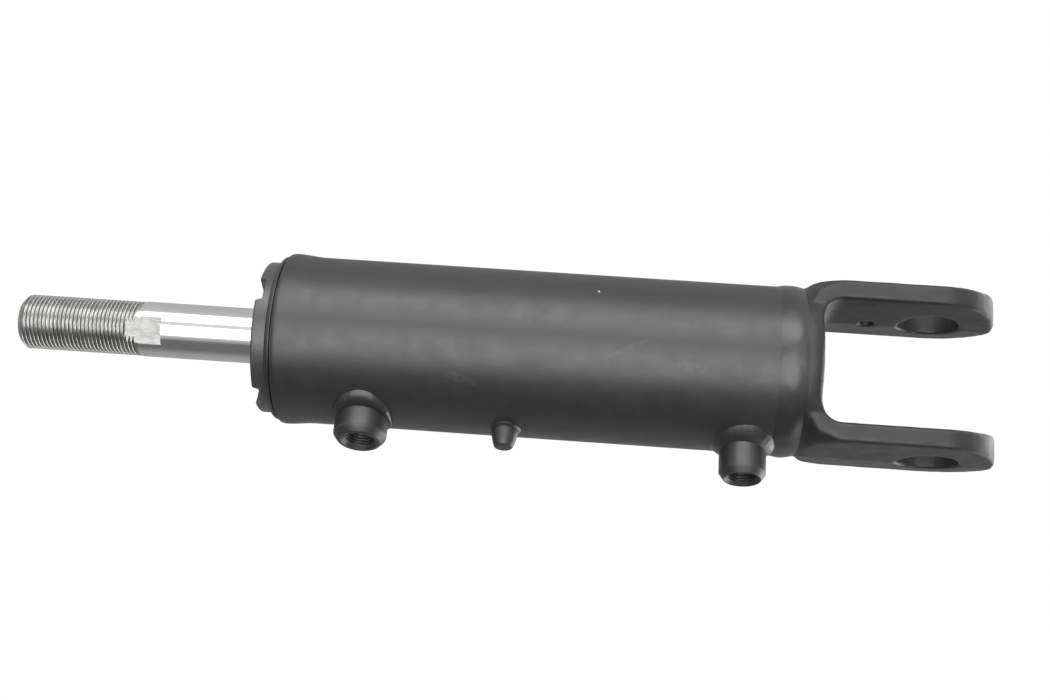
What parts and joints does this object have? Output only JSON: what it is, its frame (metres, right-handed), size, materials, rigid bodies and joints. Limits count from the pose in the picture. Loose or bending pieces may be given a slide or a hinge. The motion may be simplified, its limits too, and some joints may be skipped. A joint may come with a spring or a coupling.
{
  "type": "hydraulic cylinder",
  "caption": "Double-acting hydraulic cylinder with a welded clevis fork, screwed-in gland, side ports and a sliding chromed rod with a threaded end.",
  "frame": {"origin": "centre of the fork's pin hole, on the cylinder's axis, half way between the ears", "axes": "+X along the cylinder from the fork towards the rod end, +Z along the pin, +Y square to both; the ports point mostly towards -Z"},
  "size_m": [0.4426, 0.0782, 0.0936],
  "materials": {
    "satin_black_paint": "satin",
    "hard_chrome": "polished",
    "polyurethane": "matte",
    "nitrile_rubber": "matte",
    "ptfe": "satin",
    "filled_ptfe": "satin",
    "phenolic": "matte",
    "ductile_iron": "machined",
    "plain_steel": "satin"
  },
  "bodies": {
    "barrel": {"barrel_tube": "satin_black_paint", "clevis_fork": "satin_black_paint", "base_weld": "satin_black_paint", "head_port_boss": "satin_black_paint", "head_port_weld": "satin_black_paint", "base_port_boss": "satin_black_paint", "base_port_weld": "satin_black_paint", "locating_stud": "satin_black_paint", "locating_stud_weld": "satin_black_paint", "head_gland": "satin_black_paint", "rod_wiper": "polyurethane", "rod_seal": "polyurethane", "rod_seal_backup": "ptfe", "rod_wear_ring_outer": "phenolic", "rod_wear_ring_inner": "phenolic", "gland_o_ring": "nitrile_rubber", "gland_backup_ring": "ptfe"},
    "piston_seals": {"piston_seal": "filled_ptfe", "piston_seal_energiser": "nitrile_rubber", "piston_wear_ring_head": "phenolic", "piston_wear_ring_base": "phenolic"},
    "rod": {"piston_rod": "hard_chrome", "piston": "ductile_iron", "piston_rod_o_ring": "nitrile_rubber", "piston_washer": "plain_steel", "piston_nut": "plain_steel"}
  },
  "joints": [
    {"name": "rod_slide", "type": "slide", "parent": "barrel", "child": "piston_seals", "axis": [1, 0, 0], "range_m": [0, 0.113]},
    {"name": "rod_turn", "type": "hinge", "parent": "piston_seals", "child": "rod", "pos_m": [0.11, 0, 0], "axis": [1, 0, 0], "continuous": true}
  ]
}
